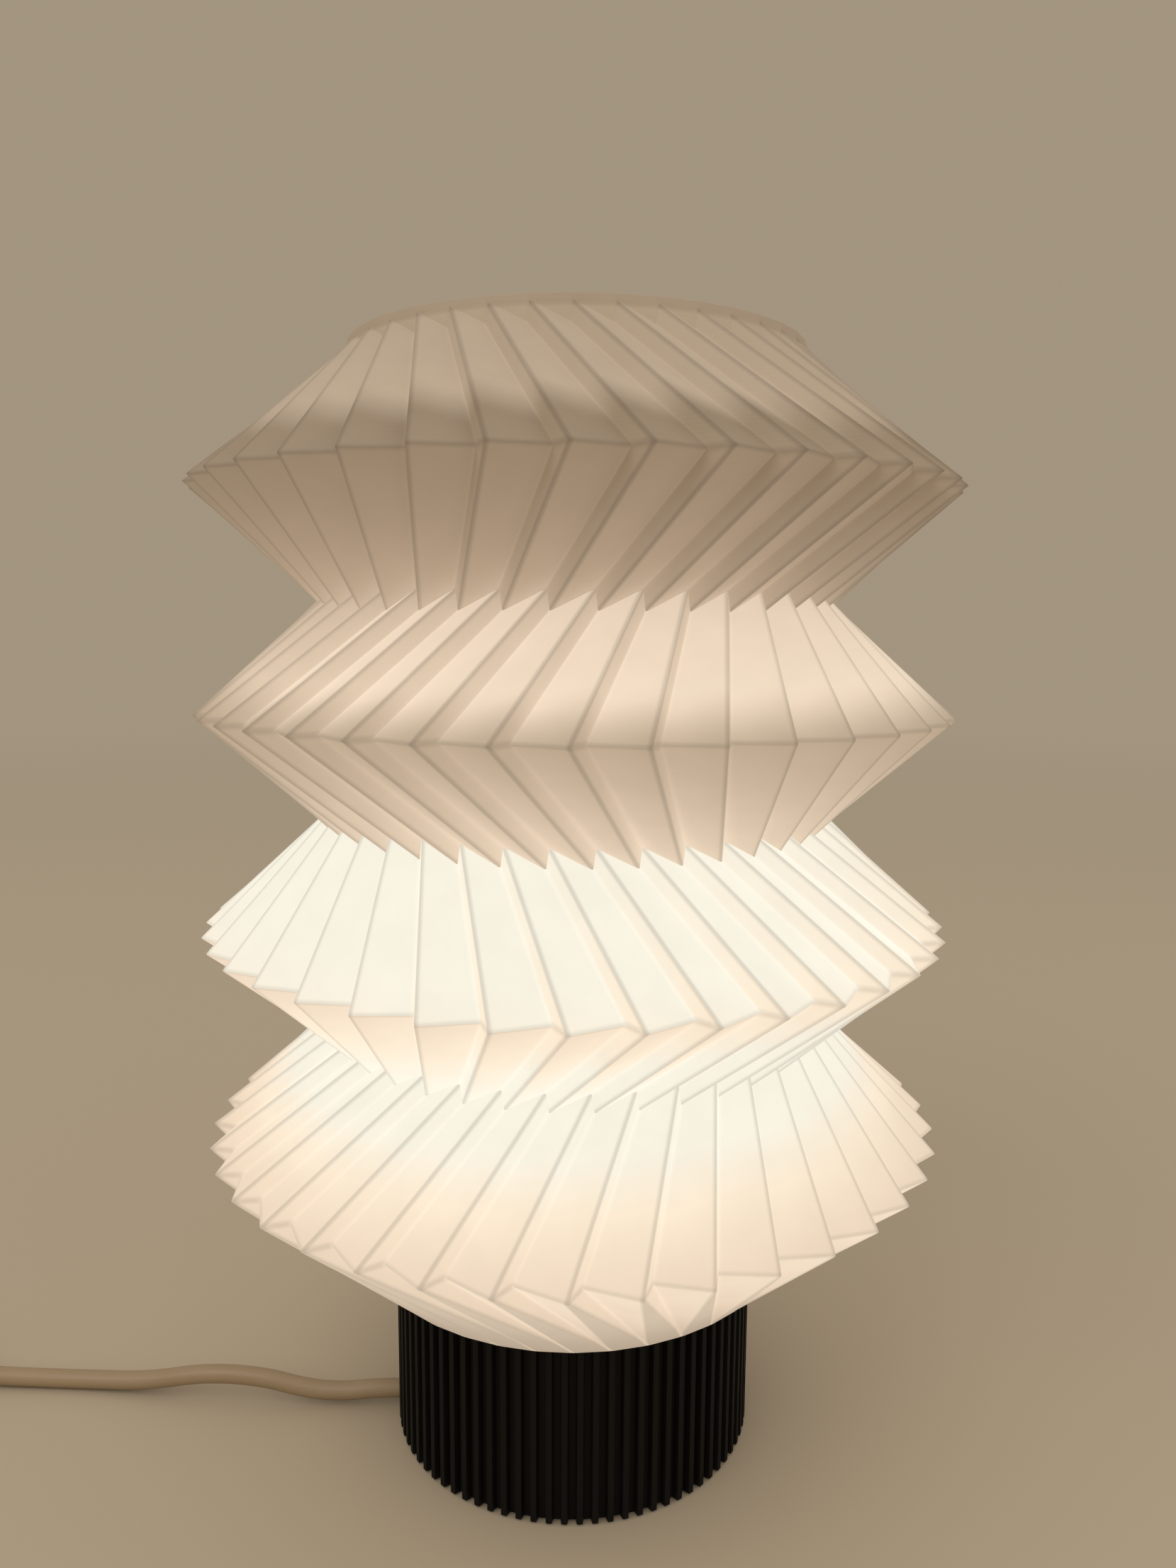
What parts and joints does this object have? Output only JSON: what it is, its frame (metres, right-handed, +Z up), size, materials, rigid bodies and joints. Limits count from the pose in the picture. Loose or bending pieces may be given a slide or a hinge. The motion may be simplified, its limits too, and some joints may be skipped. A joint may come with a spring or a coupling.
{
  "type": "desk lamp",
  "caption": "Desk lamp with a pleated, lantern-like printed shade of stacked double cones on a round ribbed base.",
  "frame": {"origin": "centre of the base's footprint, on the surface that the lamp stands on", "axes": "+Z up along the lamp's axis, -Y towards the viewer, the cord leaves towards -X"},
  "size_m": [0.4387, 0.2, 0.2988],
  "materials": {
    "shade_print": "3D-printed white, fine horizontal layers, lets light through",
    "base_plastic": "matt black",
    "screw_steel": "zinc plated",
    "pad_rubber": "matt black",
    "cord_sheath": "smooth white sheath",
    "holder_plastic": "moulded black",
    "holder_ceramic": "unglazed white",
    "bulb_insulator": "black",
    "contact_brass": "bright",
    "core_insulation": "plain",
    "bulb_cap_metal": "nickel plated, rolled thread",
    "bulb_housing_plastic": "white",
    "circuit_board": "green",
    "bulb_board_aluminium": "white faced",
    "bulb_diffuser_plastic": "opal",
    "switch_plastic": "white, fine satin",
    "tie_plastic": "white",
    "pin_metal": "nickel plated",
    "sleeve_plastic": "black"
  },
  "bodies": {
    "base": {"base_shell": "base_plastic", "base_bottom_plate": "base_plastic", "bottom_plate_screws": "screw_steel", "anti_slip_ring": "pad_rubber", "cord_bushing": "cord_sheath", "cord_inside": "cord_sheath", "cord_clamp_bar": "holder_plastic", "cord_clamp_screws": "screw_steel", "holder_leads": "core_insulation", "holder_cap": "holder_plastic", "holder_skirt": "holder_plastic", "holder_upper_ring": "holder_plastic", "holder_lower_ring": "holder_plastic", "holder_insulator": "holder_ceramic", "holder_screw_shell": "contact_brass", "holder_centre_contact": "contact_brass", "holder_terminals": "contact_brass", "holder_terminal_screws": "screw_steel", "cord_free_run": "cord_sheath", "switch_bottom_half": "switch_plastic", "switch_top_half": "switch_plastic", "switch_screws": "screw_steel", "switch_contacts": "contact_brass", "switch_cord_ends": "cord_sheath", "cord_switch_to_coil": "cord_sheath", "cord_coil": "cord_sheath", "coil_tie": "tie_plastic", "cord_to_plug": "cord_sheath", "plug_strain_relief": "cord_sheath", "plug_body": "switch_plastic", "plug_pins": "pin_metal", "plug_pin_sleeves": "sleeve_plastic"},
    "shade": {"shade_shell": "shade_print"},
    "bulb": {"bulb_centre_contact": "bulb_cap_metal", "bulb_cap_insulator": "bulb_insulator", "bulb_screw_cap": "bulb_cap_metal", "bulb_housing": "bulb_housing_plastic", "bulb_driver_board": "circuit_board", "bulb_led_board": "bulb_board_aluminium", "bulb_diffuser": "bulb_diffuser_plastic"},
    "rocker": {"switch_rocker": "switch_plastic"}
  },
  "joints": [
    {"name": "shade_lift", "type": "slide", "parent": "base", "child": "shade", "axis": [0, 0, 1], "range_m": [0, 0.1]},
    {"name": "bulb_out", "type": "slide", "parent": "base", "child": "bulb", "axis": [0, 0, 1], "range_m": [0, 0.03]},
    {"name": "switch_rock", "type": "hinge", "parent": "base", "child": "rocker", "pos_m": [-0.227, 0.0052, 0.0118], "axis": [0, -1, 0], "range_deg": [0, 16]}
  ]
}
